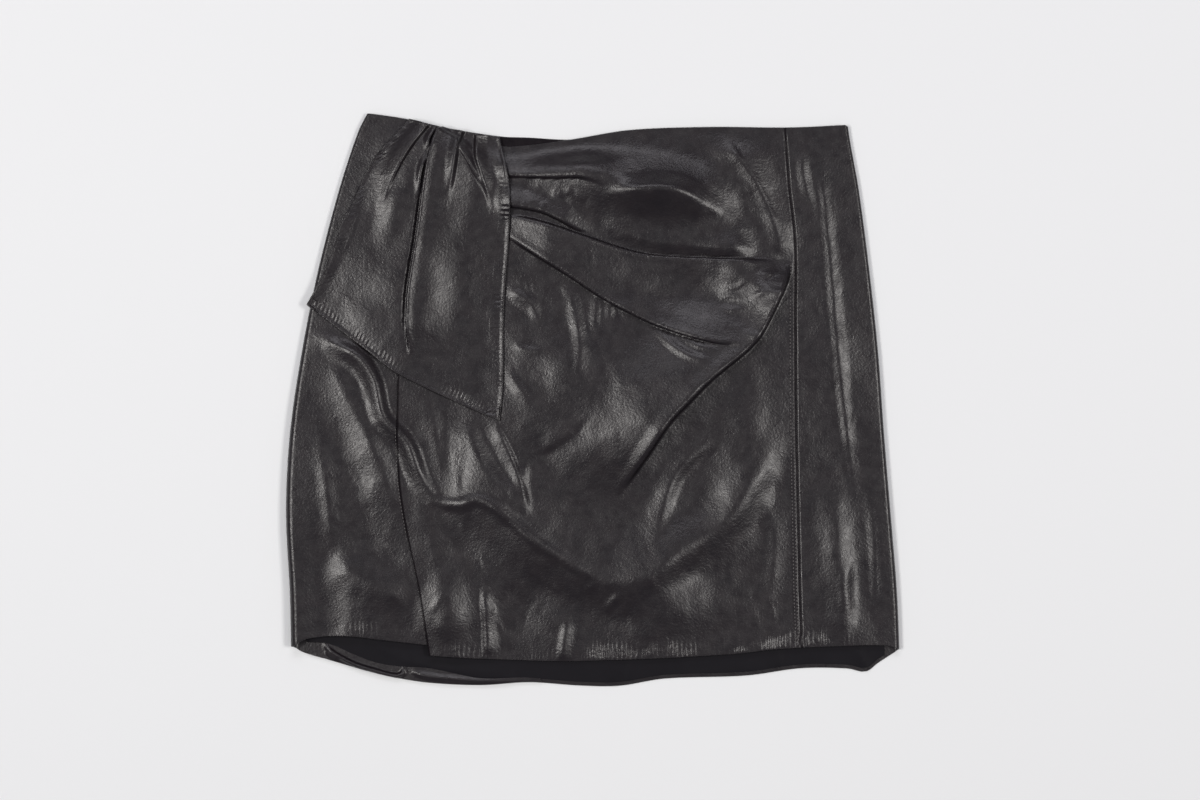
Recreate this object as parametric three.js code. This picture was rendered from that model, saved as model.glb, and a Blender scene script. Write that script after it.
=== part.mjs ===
// A draped leather mini skirt lying flat on its back, in millimetres.
// +X is the viewer's right, +Y runs from hem to waist, +Z is up from the surface it lies on.
// The origin is on that surface, under the middle of the skirt's outline.

import * as THREE from "three";

const { clamp, lerp, smoothstep } = THREE.MathUtils;

// Cloth
const LEATHER = 1.2;
const LINING = 1.0;
const SEAM_GAP = 0.3;

// Heights of the middle of each layer
const BACK_LEVEL = LEATHER / 2;
const INSIDE_BOTTOM = LEATHER + SEAM_GAP;
const FRONT_LEVEL = INSIDE_BOTTOM + LINING + SEAM_GAP + LEATHER / 2;
const LAP_STEP = LEATHER + 2 * SEAM_GAP;
const SASH_STEP = LEATHER + 5 * SEAM_GAP;

// Margins
const WRAP_UNDERLAP = 14;
const TURN_UNDER = 24;
const LINING_INSET = 11;
const WAIST_FACING_DEPTH = 32;
const HEM_ALLOWANCE = 2.5;

// Outline of the skirt: a row for each height, with both folded edges and how high each fold stands
const SECTIONS = [
  { y: 222, left: -172, right: 195, leftFold: 4.4, rightFold: 4.4 },
  { y: 206, left: -180, right: 196, leftFold: 4.6, rightFold: 4.6 },
  { y: 160, left: -195, right: 204, leftFold: 5.2, rightFold: 5.0 },
  { y: 98, left: -211, right: 212, leftFold: 6.4, rightFold: 5.6 },
  { y: 37, left: -223, right: 218.5, leftFold: 8.0, rightFold: 6.0 },
  { y: -25, left: -232, right: 223, leftFold: 9.6, rightFold: 6.4 },
  { y: -86, left: -235, right: 228, leftFold: 11.0, rightFold: 6.8 },
  { y: -148, left: -232, right: 233, leftFold: 11.6, rightFold: 7.0 },
  { y: -196, left: -231, right: 235, leftFold: 11.6, rightFold: 6.6 },
];

// Seams that cross the front, a row for each height: where the wrap's free edge and the side seam lie
const SEAMS = [
  { y: 222, wrap: -124, side: 146.5 },
  { y: 163, wrap: -132, side: 151 },
  { y: 121, wrap: -138, side: 155.5 },
  { y: 54, wrap: -147, side: 155.5 },
  { y: 0, wrap: -149.5, side: 156 },
  { y: -58, wrap: -148.5, side: 157 },
  { y: -100, wrap: -142.5, side: 158 },
  { y: -150, wrap: -132, side: 159 },
  { y: -200, wrap: -124.5, side: 161 },
];

// Waist lines, a row for each place across, with the back's line and the front's
const WAIST = [
  { x: -178, back: 220.5, front: 220.5 },
  { x: -141, back: 215, front: 215 },
  { x: -110, back: 208.5, front: 206 },
  { x: -72, back: 202.5, front: 195 },
  { x: -49, back: 201.5, front: 195.6 },
  { x: -17, back: 200, front: 199.7 },
  { x: 28, back: 204, front: 207 },
  { x: 90, back: 206.5, front: 209.4 },
  { x: 150, back: 206, front: 209 },
  { x: 198, back: 208, front: 211 },
];

// Hem of the front, a row for each place across: the main front with the side, and the wrap under it
const FRONT_HEM = [
  { x: -232, main: -194, under: -189 },
  { x: -219, main: -195, under: -182.5 },
  { x: -191, main: -195.5, under: -180.6 },
  { x: -160, main: -195.6, under: -184 },
  { x: -125, main: -195.8, under: -187.9 },
  { x: -87, main: -198.3, under: -190 },
  { x: -24, main: -200.2, under: -192 },
  { x: 30, main: -198.7, under: -192 },
  { x: 107, main: -194.8, under: -192 },
  { x: 140, main: -191, under: -192 },
  { x: 183, main: -188.8, under: -192 },
  { x: 225, main: -188, under: -192 },
  { x: 237, main: -191, under: -192 },
];

// Hem of the back, which hangs lower and is notched at its right end
const BACK_HEM = [
  { x: -232, y: -189 },
  { x: -222, y: -194 },
  { x: -203, y: -199.6 },
  { x: -186, y: -204.6 },
  { x: -168, y: -209.6 },
  { x: -148, y: -214 },
  { x: -125, y: -217.3 },
  { x: -87, y: -219 },
  { x: -49, y: -216.8 },
  { x: -10, y: -219.3 },
  { x: 20, y: -219.5 },
  { x: 55, y: -214 },
  { x: 118, y: -211.6 },
  { x: 160, y: -206 },
  { x: 196, y: -206.2 },
  { x: 210, y: -208.6 },
  { x: 219, y: -202 },
  { x: 237, y: -190.5 },
];

// Corners and edges of the sash flap, each edge as the points that its curve passes through
const SASH = {
  top: [[-141, 215.5], [-128, 212], [-111, 208], [-88, 204], [-72, 201.5]],
  left: [[-219, 73], [-208, 94], [-191, 138], [-168, 184], [-141, 215.5]],
  right: [[-71.5, -15.5], [-69, 14], [-68.5, 72], [-64.5, 128], [-64, 164], [-72, 201.5]],
  bottom: [[-219, 73], [-174, 39], [-148.5, 20], [-98, -4.5], [-71.5, -15.5]],
};

// Folds of the front. Each row gives the line that the fold follows, how high it stands, how far it falls
// away to the left and to the right of someone walking along that line, and the share of its length over
// which it grows at the start and fades at the end.
const FRONT_FOLDS = [
  { fold: "upper roll", rise: 15, left: 34, right: 46, grow: 0.16, fade: 0.2,
    line: [[-68, 183], [-25, 181], [14, 171], [52, 166], [94, 160], [125, 145], [143, 118]] },
  { fold: "drape end", rise: 5, left: 11, right: 30, grow: 0.3, fade: 0.12,
    line: [[75, 198], [111, 187], [128, 164], [141, 131], [146, 106]] },
  { fold: "first pleat", rise: 3, left: 22, right: 8, grow: 0.2, fade: 0.4,
    line: [[-72, 174], [-32, 172.5], [-8, 172], [14, 163]] },
  { fold: "second pleat", rise: 4, left: 16, right: 8, grow: 0.25, fade: 0.4,
    line: [[-72, 152], [-42, 147], [-25, 140], [-11, 132], [4, 129]] },
  { fold: "third pleat", rise: 5, left: 8, right: 26, grow: 0.2, fade: 0.2,
    line: [[-72, 142], [-45, 136], [-3, 122], [22, 114], [50, 108.5], [113, 105.5], [146, 106]] },
  { fold: "fourth pleat", rise: 7, left: 42, right: 8, grow: 0.22, fade: 0.12,
    line: [[-72, 131], [-25, 103], [7, 82], [27, 71], [54, 58.5], [97, 45.5], [124, 46]] },
  { fold: "hanging loop", rise: 12, left: 9, right: 72, grow: 0.14, fade: 0.3,
    line: [[153, 108], [136, 72], [121, 46], [89, 19], [70, 0], [55, -16], [38, -42], [15, -78]] },
  { fold: "second loop", rise: 3.5, left: 8, right: 14, grow: 0.3, fade: 0.4,
    line: [[104, -20], [84, -36], [62, -60], [48, -104], [42, -122]] },
  { fold: "upper left ridge", rise: 6, left: 24, right: 12, grow: 0.12, fade: 0.25,
    line: [[-222, 28], [-213, 48], [-201, 44], [-179, 33], [-167, 15], [-160, -13], [-142, -32], [-130, -62],
      [-112, -80]] },
  { fold: "lower left ridge", rise: 4.5, left: 14, right: 26, grow: 0.2, fade: 0.3,
    line: [[-208, 36], [-186, -4], [-170, -35], [-156, -70], [-148, -105]] },
  { fold: "left hem ridge", rise: 4, left: 22, right: 15, grow: 0.3, fade: 0.3,
    line: [[-205, -118], [-175, -138], [-136, -158]] },
  { fold: "open hem", rise: 7, left: 44, right: 48, grow: 0, fade: 0.7,
    line: [[-188, -205], [-187, -160], [-186, -90]] },
  { fold: "centre left ridge", rise: 5.5, left: 18, right: 22, grow: 0.25, fade: 0.15,
    line: [[-100, -12], [-84, -50], [-62, -75], [-50, -88]] },
  { fold: "centre left crease", rise: 4.5, left: 8, right: 14, grow: 0.25, fade: 0.15,
    line: [[-73, -20], [-62, -46], [-54, -70], [-50, -86]] },
  { fold: "swag", rise: 7.5, left: 60, right: 30, grow: 0.1, fade: 0.25,
    line: [[-123, -80], [-94, -77], [-67, -92], [-38, -114], [8, -139], [39, -136], [70, -117], [101, -95],
      [130, -55]] },
  { fold: "swag's second line", rise: 3, left: 30, right: 16, grow: 0.3, fade: 0.3,
    line: [[40, -128], [76, -112], [108, -92], [136, -50], [146, -10]] },
  { fold: "side ridge", rise: 3.5, left: 16, right: 16, grow: 0.2, fade: 0.3,
    line: [[173, 176], [182, 128], [190, 76], [194, 15], [201, -48], [209, -94]] },
];
const SASH_FOLDS = [
  { fold: "main pleat", rise: 5, left: 24, right: 7, grow: 0.03, fade: 0.45,
    line: [[-113, 210], [-118, 201], [-124, 177], [-131, 127], [-138, 81], [-140, 31]] },
  { fold: "left pleat", rise: 3.5, left: 7, right: 15, grow: 0.03, fade: 0.6,
    line: [[-127, 213], [-143, 192], [-155, 169], [-165, 140]] },
  { fold: "second gather", rise: 3, left: 7, right: 7, grow: 0.03, fade: 0.6,
    line: [[-101, 208], [-105, 195], [-108, 175], [-112, 150]] },
  { fold: "right gather", rise: 3, left: 9, right: 7, grow: 0.03, fade: 0.6,
    line: [[-88, 205], [-88, 186], [-80, 160], [-76, 138]] },
];

// Broad swells of the front: middle, half width and half height, and how high each one stands
const SWELLS = [
  { x: 0, y: 2, halfWidth: 112, halfHeight: 96, rise: 6 },
  { x: 112, y: -60, halfWidth: 34, halfHeight: 90, rise: 3.5 },
  { x: -112, y: -158, halfWidth: 26, halfHeight: 40, rise: 3 },
  { x: 60, y: -160, halfWidth: 55, halfHeight: 32, rise: 2.5 },
  { x: -205, y: -70, halfWidth: 34, halfHeight: 100, rise: 3 },
];

// How far relief takes to grow, in from an edge that holds it down, and how far the front floats between folds
const WAIST_EASE = 24;
const LEFT_EASE = 45;
const RIGHT_EASE = 30;
const SASH_EASE = 25;
const LOFT = 1.5;
const SASH_SHARE = 0.15;
const LAP_EASE = 26;
const UNDERLAP_EASE = 14;

// Fineness: steps along each fold and each edge of the sash, and rows and columns of each panel's grid
const FOLD_STEPS = 28;
const EDGE_STEPS = 16;
const FRONT_COLUMNS = 34;
const LOW_ROWS = 20;
const DRAPE_ROWS = 26;
const DRAPE_START = 0.52;
const TURN_STEPS = 6;
const TUCK_STEPS = 2;
const LEFT_GRID = { columns: 13, rows: 36 };
const RIGHT_GRID = { columns: 9, rows: 32 };
const SASH_GRID = { columns: 18, rows: 26 };
const BACK_STEPS = { across: 48, up: 10 };
const LINING_STEPS = { across: 48, up: 8 };
const WAIST_FACING_STEPS = { across: 24, up: 1 };
const HEM_FACING_STEPS = { across: 24, up: 1 };

// Rounds that settle a point which lies on two curved lines that depend on each other
const SETTLE_ROUNDS = 5;

// Value of one column of a table at a place between its rows, on a smooth curve through them
function read(table, key, column, at) {
  const rows = [...table].sort((a, b) => a[key] - b[key]);
  const last = rows.length - 1;
  const place = clamp(at, rows[0][key], rows[last][key]);
  let i = 0;
  while (i < last - 1 && rows[i + 1][key] < place) i += 1;
  const [before, from, to, after] = [rows[Math.max(i - 1, 0)], rows[i], rows[i + 1], rows[Math.min(i + 2, last)]];
  const span = to[key] - from[key];
  const t = (place - from[key]) / span;
  const slopeFrom = ((to[column] - before[column]) / (to[key] - before[key])) * span;
  const slopeTo = ((after[column] - from[column]) / (after[key] - from[key])) * span;
  const t2 = t * t;
  const t3 = t2 * t;
  return (2 * t3 - 3 * t2 + 1) * from[column] + (t3 - 2 * t2 + t) * slopeFrom
    + (3 * t2 - 2 * t3) * to[column] + (t3 - t2) * slopeTo;
}

const leftEdge = (y) => read(SECTIONS, "y", "left", y);
const rightEdge = (y) => read(SECTIONS, "y", "right", y);
const wrapEdge = (y) => read(SEAMS, "y", "wrap", y);
const sideSeam = (y) => read(SEAMS, "y", "side", y);
const frontWaist = (x) => read(WAIST, "x", "front", x);
const backWaist = (x) => read(WAIST, "x", "back", x);
const mainHem = (x) => read(FRONT_HEM, "x", "main", x);
const underHem = (x) => read(FRONT_HEM, "x", "under", x);
const backHem = (x) => read(BACK_HEM, "x", "y", x);

function curve(points) {
  return new THREE.SplineCurve(points.map(([x, y]) => new THREE.Vector2(x, y)));
}

// How far a point is from a segment, where along it, and on which hand (turn is positive on the left)
function toSegment(from, to, x, y) {
  const along = { x: to.x - from.x, y: to.y - from.y };
  const away = { x: x - from.x, y: y - from.y };
  const t = clamp((away.x * along.x + away.y * along.y) / (along.x ** 2 + along.y ** 2), 0, 1);
  const distance = Math.hypot(away.x - t * along.x, away.y - t * along.y);
  return { t, distance, turn: along.x * away.y - along.y * away.x };
}

// Height of one fold at a point, as a soft bell across its line
function foldHeight(fold, x, y) {
  fold.path ??= curve(fold.line).getSpacedPoints(FOLD_STEPS);
  let best = { distance: Infinity };
  for (let i = 0; i < FOLD_STEPS; i += 1) {
    const { t, distance, turn } = toSegment(fold.path[i], fold.path[i + 1], x, y);
    if (distance < best.distance) best = { distance, turn, share: (i + t) / FOLD_STEPS };
  }
  const width = best.turn > 0 ? fold.left : fold.right;
  if (best.distance >= width) return 0;
  const bell = 0.5 + 0.5 * Math.cos((Math.PI * best.distance) / width);
  const grow = fold.grow > 0 ? smoothstep(best.share, 0, fold.grow) : 1;
  const fade = 1 - smoothstep(best.share, 1 - fold.fade, 1);
  return fold.rise * bell * grow * fade;
}

function foldsHeight(folds, x, y) {
  return folds.reduce((sum, fold) => sum + foldHeight(fold, x, y), 0);
}

// Points round the sash flap, for the cloth that it holds down
const sashOutline = [SASH.bottom, SASH.right, [...SASH.top].reverse(), [...SASH.left].reverse()]
  .flatMap((edge) => curve(edge).getSpacedPoints(EDGE_STEPS).slice(0, -1));

// How deep a point lies inside the sash flap, or zero outside it
function depthUnderSash(x, y) {
  let inside = false;
  let nearest = Infinity;
  sashOutline.forEach((to, i) => {
    const from = sashOutline.at(i - 1);
    if (from.y > y !== to.y > y && x < from.x + ((y - from.y) * (to.x - from.x)) / (to.y - from.y)) {
      inside = !inside;
    }
    nearest = Math.min(nearest, toSegment(from, to, x, y).distance);
  });
  return inside ? nearest : 0;
}

// Height of one broad swell at a point
function swellHeight({ x: middleX, y: middleY, halfWidth, halfHeight, rise }, x, y) {
  const radius = Math.hypot((x - middleX) / halfWidth, (y - middleY) / halfHeight);
  return rise * (0.5 + 0.5 * Math.cos(Math.PI * Math.min(radius, 1)));
}

// Relief of the front: its folds and swells, held down at the waist and under the sash
function frontRelief(x, y) {
  const swells = SWELLS.reduce((sum, swell) => sum + swellHeight(swell, x, y), 0);
  const waist = smoothstep(frontWaist(x) - y, 0, WAIST_EASE);
  const sash = lerp(1, SASH_SHARE, smoothstep(depthUnderSash(x, y), 0, SASH_EASE));
  return (LOFT + (swells + foldsHeight(FRONT_FOLDS, x, y)) * sash) * waist;
}

// Height of the front near the folded edges, where it rises or sinks to meet each rolled fold
function frontHeight(x, y) {
  const left = leftEdge(y);
  const right = rightEdge(y);
  const open = FRONT_LEVEL + frontRelief(x, y);
  const leftShare = 1 - smoothstep(x - left, 0, LEFT_EASE);
  const rightShare = 1 - smoothstep(right - x, 0, RIGHT_EASE);
  const leftFold = read(SECTIONS, "y", "leftFold", y);
  const rightFold = read(SECTIONS, "y", "rightFold", y);
  return lerp(lerp(open, leftFold, leftShare), rightFold, rightShare);
}

// Extra height of the main front where it lies over the under wrap
function lapHeight(x, y) {
  const past = x - wrapEdge(y);
  return LAP_STEP * (1 - smoothstep(past, WRAP_UNDERLAP, WRAP_UNDERLAP + LAP_EASE));
}

// Closed shell round a grid of middle points: both skins and the rim between them.
// Along its edges the wall stands square, so that a neighbour's edge can lie close to it.
function shell(grid, thickness) {
  const rows = grid.length;
  const columns = grid[0].length;
  const positions = [];
  const at = (i, j) => grid[clamp(i, 0, rows - 1)][clamp(j, 0, columns - 1)];
  const normals = grid.map((row, i) => row.map((_, j) => {
    const across = at(i, j + 1).clone().sub(at(i, j - 1));
    const along = at(i + 1, j).clone().sub(at(i - 1, j));
    const normal = across.cross(along).normalize();
    if (j === 0 || j === columns - 1) normal.x = 0;
    if (i === 0 || i === rows - 1) normal.y = 0;
    return normal.normalize();
  }));
  const skin = (side) => grid.map((row, i) => row.map((point, j) => {
    positions.push(...point.clone().addScaledVector(normals[i][j], (side * thickness) / 2).toArray());
    return positions.length / 3 - 1;
  }));
  const outer = skin(1);
  const inner = skin(-1);
  const faces = [];
  const quad = (a, b, c, d) => faces.push(a, b, c, a, c, d);
  for (let i = 0; i < rows - 1; i += 1) {
    for (let j = 0; j < columns - 1; j += 1) {
      quad(outer[i][j], outer[i][j + 1], outer[i + 1][j + 1], outer[i + 1][j]);
      quad(inner[i][j], inner[i + 1][j], inner[i + 1][j + 1], inner[i][j + 1]);
    }
  }
  for (let j = 0; j < columns - 1; j += 1) {
    quad(outer[0][j + 1], outer[0][j], inner[0][j], inner[0][j + 1]);
    quad(outer[rows - 1][j], outer[rows - 1][j + 1], inner[rows - 1][j + 1], inner[rows - 1][j]);
  }
  for (let i = 0; i < rows - 1; i += 1) {
    quad(outer[i][0], outer[i + 1][0], inner[i + 1][0], inner[i][0]);
    quad(outer[i + 1][columns - 1], outer[i][columns - 1], inner[i][columns - 1], inner[i + 1][columns - 1]);
  }
  const geometry = new THREE.BufferGeometry();
  geometry.setAttribute("position", new THREE.Float32BufferAttribute(positions, 3));
  geometry.setIndex(faces);
  geometry.computeVertexNormals();
  return geometry;
}

const leatherBlack = new THREE.Color(0.045, 0.043, 0.044);
const leather = () => new THREE.MeshStandardMaterial({ color: leatherBlack, roughness: 0.42, metalness: 0 });
const liningBlack = new THREE.Color(0.016, 0.016, 0.019);
const liningCloth = () => new THREE.MeshStandardMaterial({ color: liningBlack, roughness: 0.6, metalness: 0 });

function named(name, geometry, material) {
  const mesh = new THREE.Mesh(geometry, material);
  mesh.name = name;
  return mesh;
}

// Evenly spread shares from 0 to 1
const shares = (count) => Array.from({ length: count + 1 }, (_, i) => i / count);

// Shares from hem to waist that are closer together above a given share
function gradedShares(lowCount, highCount, split) {
  return [...shares(lowCount).slice(0, -1).map((t) => t * split), ...shares(highCount).map((t) => lerp(split, 1, t))];
}

// Flat piece from its four edges, standing on a given height
function flatPiece(name, { left, right, hem, waist, steps }, bottom, thickness, material) {
  const corner = (side, line) => {
    let x = side(0);
    let y = line(x);
    for (let i = 0; i < SETTLE_ROUNDS; i += 1) {
      x = side(y);
      y = line(x);
    }
    return { x, y };
  };
  const [hemLeft, hemRight] = [corner(left, hem), corner(right, hem)];
  const [waistLeft, waistRight] = [corner(left, waist), corner(right, waist)];
  const across = shares(steps.across).slice(0, -1);
  const up = shares(steps.up).slice(0, -1);
  const outline = [
    ...across.map((t) => lerp(hemLeft.x, hemRight.x, t)).map((x) => [x, hem(x)]),
    ...up.map((t) => lerp(hemRight.y, waistRight.y, t)).map((y) => [right(y), y]),
    ...across.map((t) => lerp(waistRight.x, waistLeft.x, t)).map((x) => [x, waist(x)]),
    ...up.map((t) => lerp(waistLeft.y, hemLeft.y, t)).map((y) => [left(y), y]),
  ];
  const shape = new THREE.Shape(outline.map(([x, y]) => new THREE.Vector2(x, y)));
  const geometry = new THREE.ExtrudeGeometry(shape, { depth: thickness, bevelEnabled: false });
  geometry.translate(0, 0, bottom);
  return named(name, geometry, material);
}

function backPanel() {
  const edges = {
    left: (y) => leftEdge(y) + TURN_UNDER + SEAM_GAP,
    right: (y) => rightEdge(y) - TURN_UNDER - SEAM_GAP,
    hem: backHem,
    waist: backWaist,
    steps: BACK_STEPS,
  };
  return flatPiece("back_panel", edges, 0, LEATHER, leather());
}

// Top of the leather turned up inside the back hem: deepest at the left, running out before the middle
const HEM_TURN = [
  { x: -222, depth: 8 },
  { x: -203, depth: 12 },
  { x: -186, depth: 10 },
  { x: -168, depth: 8 },
  { x: -148, depth: 9 },
  { x: -125, depth: 11 },
  { x: -87, depth: 5 },
  { x: -40, depth: 3 },
];
const HEM_TURN_END = -40;
const hemTurnTop = (x) => backHem(x) + read(HEM_TURN, "x", "depth", x);

function backHemFacing() {
  const edges = {
    left: (y) => leftEdge(y) + LINING_INSET,
    right: () => HEM_TURN_END,
    hem: (x) => backHem(x) + SEAM_GAP,
    waist: hemTurnTop,
    steps: HEM_FACING_STEPS,
  };
  return flatPiece("back_hem_facing", edges, INSIDE_BOTTOM, LINING, leather());
}

function backLining() {
  const edges = {
    left: (y) => leftEdge(y) + LINING_INSET,
    right: (y) => rightEdge(y) - LINING_INSET,
    hem: (x) => (x < HEM_TURN_END ? hemTurnTop(x) + SEAM_GAP : backHem(x) + HEM_ALLOWANCE + 2 * SEAM_GAP),
    waist: (x) => backWaist(x) - WAIST_FACING_DEPTH - SEAM_GAP,
    steps: LINING_STEPS,
  };
  return flatPiece("back_lining", edges, INSIDE_BOTTOM, LINING, liningCloth());
}

function backWaistFacing() {
  const edges = {
    left: (y) => leftEdge(y) + LINING_INSET,
    right: (y) => rightEdge(y) - LINING_INSET,
    hem: (x) => backWaist(x) - WAIST_FACING_DEPTH,
    waist: (x) => backWaist(x) - SEAM_GAP,
    steps: WAIST_FACING_STEPS,
  };
  return flatPiece("back_waist_facing", edges, INSIDE_BOTTOM, LINING, leather());
}

// Main front between the wrap's free edge and the side seam
function frontPanel() {
  const across = shares(FRONT_COLUMNS);
  const up = gradedShares(LOW_ROWS, DRAPE_ROWS, DRAPE_START);
  const grid = up.map((v) => across.map((u) => {
    let x = lerp(wrapEdge(0), sideSeam(0), u);
    let y = 0;
    for (let i = 0; i < SETTLE_ROUNDS; i += 1) {
      y = lerp(mainHem(x), frontWaist(x), v);
      x = lerp(wrapEdge(y), sideSeam(y) - SEAM_GAP, u);
    }
    return new THREE.Vector3(x, y, frontHeight(x, y) + lapHeight(x, y));
  }));
  return named("front_panel", shell(grid, LEATHER), leather());
}

// Panel that runs from a seam on the front, round a folded edge, to a seam on the underside
function roundedPanel(name, { side, inner, edge, foldTop, hem, steps, height }) {
  const columns = [
    ...shares(steps.columns).map((t) => ({ part: "front", t })),
    ...shares(TURN_STEPS).slice(1).map((t) => ({ part: "turn", t })),
    ...shares(TUCK_STEPS).slice(1).map((t) => ({ part: "under", t })),
  ];
  const place = ({ part, t }, y) => {
    const top = foldTop(y);
    const radius = (top - BACK_LEVEL) / 2;
    const middle = (top + BACK_LEVEL) / 2;
    const turnStart = edge(y) - side * radius;
    if (part === "front") {
      const x = lerp(inner(y), turnStart, t);
      return { x, z: height(x, y) };
    }
    if (part === "turn") {
      const angle = Math.PI * (0.5 - t);
      return { x: turnStart + side * radius * Math.cos(angle), z: middle + radius * Math.sin(angle) };
    }
    return { x: lerp(turnStart, edge(y) - side * TURN_UNDER, t), z: BACK_LEVEL };
  };
  const lineAt = ({ part, t }, front, back, x) => {
    if (part === "front") return front(x);
    if (part === "under") return back(x);
    return lerp(front(x), back(x), t);
  };
  const grid = shares(steps.rows).map((v) => columns.map((column) => {
    let y = 0;
    for (let i = 0; i < SETTLE_ROUNDS; i += 1) {
      const { x } = place(column, y);
      y = lerp(lineAt(column, hem, backHem, x), lineAt(column, frontWaist, backWaist, x), v);
    }
    const { x, z } = place(column, y);
    return new THREE.Vector3(x, y, z);
  }));
  const faced = side > 0 ? grid : grid.map((row) => [...row].reverse());
  return named(name, shell(faced, LEATHER), leather());
}

function leftFrontPanel() {
  return roundedPanel("left_front_panel", {
    side: -1,
    inner: (y) => wrapEdge(y) + WRAP_UNDERLAP,
    edge: leftEdge,
    foldTop: (y) => read(SECTIONS, "y", "leftFold", y),
    hem: underHem,
    steps: LEFT_GRID,
    height: (x, y) => {
      const free = 1 - smoothstep(x, wrapEdge(y) - UNDERLAP_EASE, wrapEdge(y) - SEAM_GAP);
      return lerp(FRONT_LEVEL, frontHeight(x, y), free);
    },
  });
}

function rightSidePanel() {
  return roundedPanel("right_side_panel", {
    side: 1,
    inner: sideSeam,
    edge: rightEdge,
    foldTop: (y) => read(SECTIONS, "y", "rightFold", y),
    hem: mainHem,
    steps: RIGHT_GRID,
    height: frontHeight,
  });
}

// Sash flap: a patch between its four edges, lying on the front and gathered at the waist
function sashFlap() {
  const [top, bottom] = [curve(SASH.top), curve(SASH.bottom)];
  const [left, right] = [curve(SASH.left), curve(SASH.right)];
  const grid = shares(SASH_GRID.rows).map((v) => shares(SASH_GRID.columns).map((u) => {
    const across = bottom.getPointAt(u).lerp(top.getPointAt(u), v);
    const along = left.getPointAt(v).lerp(right.getPointAt(v), u);
    const low = bottom.getPointAt(0).lerp(bottom.getPointAt(1), u);
    const high = top.getPointAt(0).lerp(top.getPointAt(1), u);
    const point = across.add(along).sub(low.lerp(high, v));
    const lap = LAP_STEP * smoothstep(point.x, wrapEdge(point.y) - LAP_EASE, wrapEdge(point.y));
    const over = lap * (1 - smoothstep(point.x - wrapEdge(point.y), WRAP_UNDERLAP, WRAP_UNDERLAP + LAP_EASE));
    const z = frontHeight(point.x, point.y) + over + SASH_STEP + foldsHeight(SASH_FOLDS, point.x, point.y);
    return new THREE.Vector3(point.x, point.y, z);
  }));
  return named("sash_flap", shell(grid, LEATHER), leather());
}

const skirt = new THREE.Group();
skirt.add(
  backPanel(),
  backLining(),
  backHemFacing(),
  backWaistFacing(),
  leftFrontPanel(),
  frontPanel(),
  rightSidePanel(),
  sashFlap(),
);

export default skirt;
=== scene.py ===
import math

import bpy
import numpy as np
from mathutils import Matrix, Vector


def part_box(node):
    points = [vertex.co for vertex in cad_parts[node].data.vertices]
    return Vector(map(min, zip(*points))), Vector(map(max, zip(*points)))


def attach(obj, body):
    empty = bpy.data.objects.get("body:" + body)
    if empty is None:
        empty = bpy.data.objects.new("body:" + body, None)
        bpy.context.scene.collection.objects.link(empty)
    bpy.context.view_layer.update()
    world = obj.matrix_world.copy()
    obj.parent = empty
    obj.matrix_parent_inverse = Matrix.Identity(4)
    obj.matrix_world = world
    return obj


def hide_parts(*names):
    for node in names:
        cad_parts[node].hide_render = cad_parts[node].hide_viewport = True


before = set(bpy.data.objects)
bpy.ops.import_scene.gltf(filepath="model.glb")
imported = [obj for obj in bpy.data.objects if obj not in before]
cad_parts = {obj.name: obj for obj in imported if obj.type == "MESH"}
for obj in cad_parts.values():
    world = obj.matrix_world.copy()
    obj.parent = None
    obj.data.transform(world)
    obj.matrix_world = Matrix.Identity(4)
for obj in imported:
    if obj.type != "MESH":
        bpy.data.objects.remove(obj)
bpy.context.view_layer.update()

# Everything below is worked out in millimetres, and turned into metres where a mesh is made.
MM = 0.001


def node_size(node, axis):
    low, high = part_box(node)
    return (high[axis] - low[axis]) / MM


# Cloth, from the frame
LEATHER = node_size("back_panel", 2)
LINING = node_size("back_lining", 2)
SEAM_GAP = 0.3
BACK_LEVEL = LEATHER / 2
INSIDE_BOTTOM = LEATHER + SEAM_GAP
INSIDE_LEVEL = INSIDE_BOTTOM + LINING / 2
FRONT_LEVEL = INSIDE_BOTTOM + LINING + SEAM_GAP + LEATHER / 2
LAP_STEP = LEATHER + 2 * SEAM_GAP
SASH_STEP = LEATHER + 3 * SEAM_GAP

# Margins
WRAP_UNDERLAP = 14
TURN_UNDER = 24
LINING_INSET = 11
WAIST_FACING_DEPTH = 32
HEM_ALLOWANCE = 2.5

# Outline of the skirt: height, both folded edges, and how high each fold stands
SECTIONS = {
    "y": (222, 206, 160, 98, 37, -25, -86, -148, -196),
    "left": (-172, -180, -195, -211, -223, -232, -235, -232, -231),
    "right": (195, 196, 204, 212, 218.5, 223, 228, 233, 235),
    "left_fold": (4.4, 4.6, 5.2, 6.4, 8.0, 9.6, 11.0, 11.6, 11.6),
    "right_fold": (4.4, 4.6, 5.0, 5.6, 6.0, 6.4, 6.8, 7.0, 6.6),
}
# Seams that cross the front: the wrap's free edge and the side seam at each height
SEAMS = {
    "y": (222, 163, 121, 54, 0, -58, -100, -150, -200),
    "wrap": (-124, -132, -138, -147, -149.5, -148.5, -142.5, -132, -124.5),
    "side": (146.5, 151, 155.5, 155.5, 156, 157, 158, 159, 161),
}
# Waist lines at each place across
WAIST = {
    "x": (-178, -141, -110, -72, -49, -17, 28, 90, 150, 198),
    "back": (220.5, 215, 208.5, 202.5, 201.5, 200, 204, 206.5, 206, 208),
    "front": (220.5, 215, 206, 195, 195.6, 199.7, 207, 209.4, 209, 211),
}
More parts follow.
